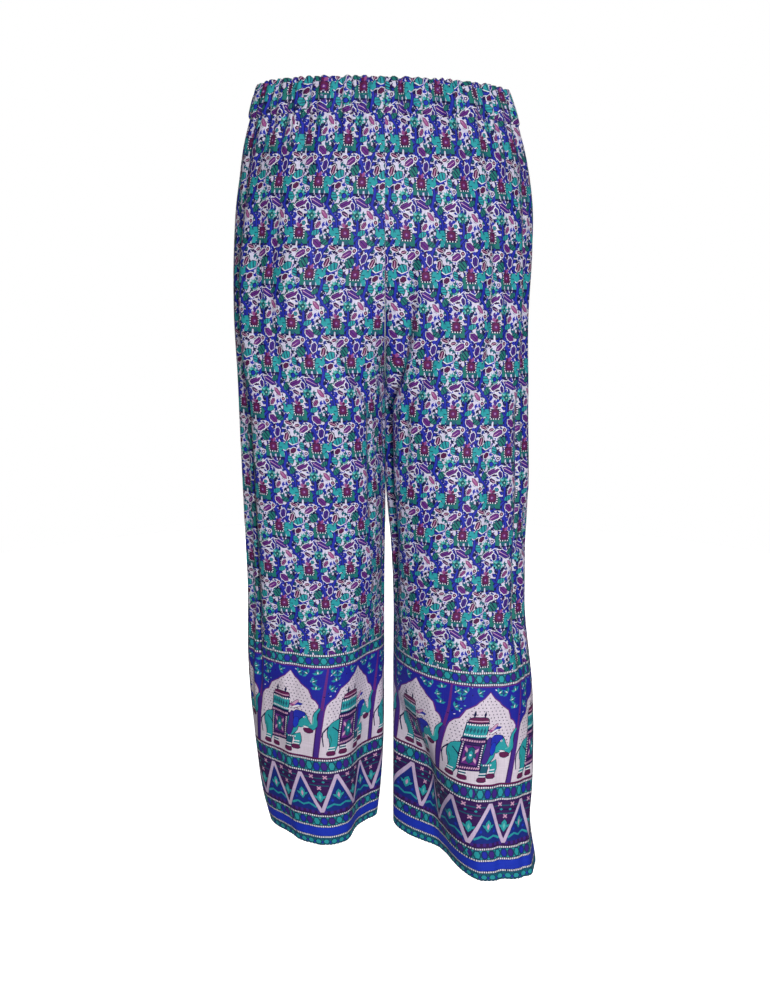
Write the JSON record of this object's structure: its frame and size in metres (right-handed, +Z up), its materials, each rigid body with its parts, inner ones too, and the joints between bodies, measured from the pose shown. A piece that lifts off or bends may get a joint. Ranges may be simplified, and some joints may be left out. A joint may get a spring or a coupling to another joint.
{
  "type": "palazzo pants",
  "caption": "Wide straight-legged trousers in printed rayon, with a gathered elastic waist and turned hems, in their worn hollow form.",
  "frame": {"origin": "the middle of the waist, half way up the elastic casing, where the wearer's waist holds the trousers up", "axes": "+Z up along the body, the front faces -Y, and +X is the wearer's left"},
  "size_m": [0.3891, 0.2823, 0.9728],
  "materials": {
    "printed_rayon": "plain-woven rayon, block-printed in blue, teal and purple on pale lilac, softly lustrous",
    "gathered_casing": "the same printed rayon, closely gathered over elastic",
    "turned_hem": "the same rayon, turned up and stitched, with the lowest stripes of the printed border"
  },
  "bodies": {
    "root": {"waist_casing": "gathered_casing", "front_panel_right_leg": "printed_rayon", "back_panel_right_leg": "printed_rayon", "front_panel_left_leg": "printed_rayon", "back_panel_left_leg": "printed_rayon", "hem_right_leg": "turned_hem", "hem_left_leg": "turned_hem"}
  },
  "joints": []
}
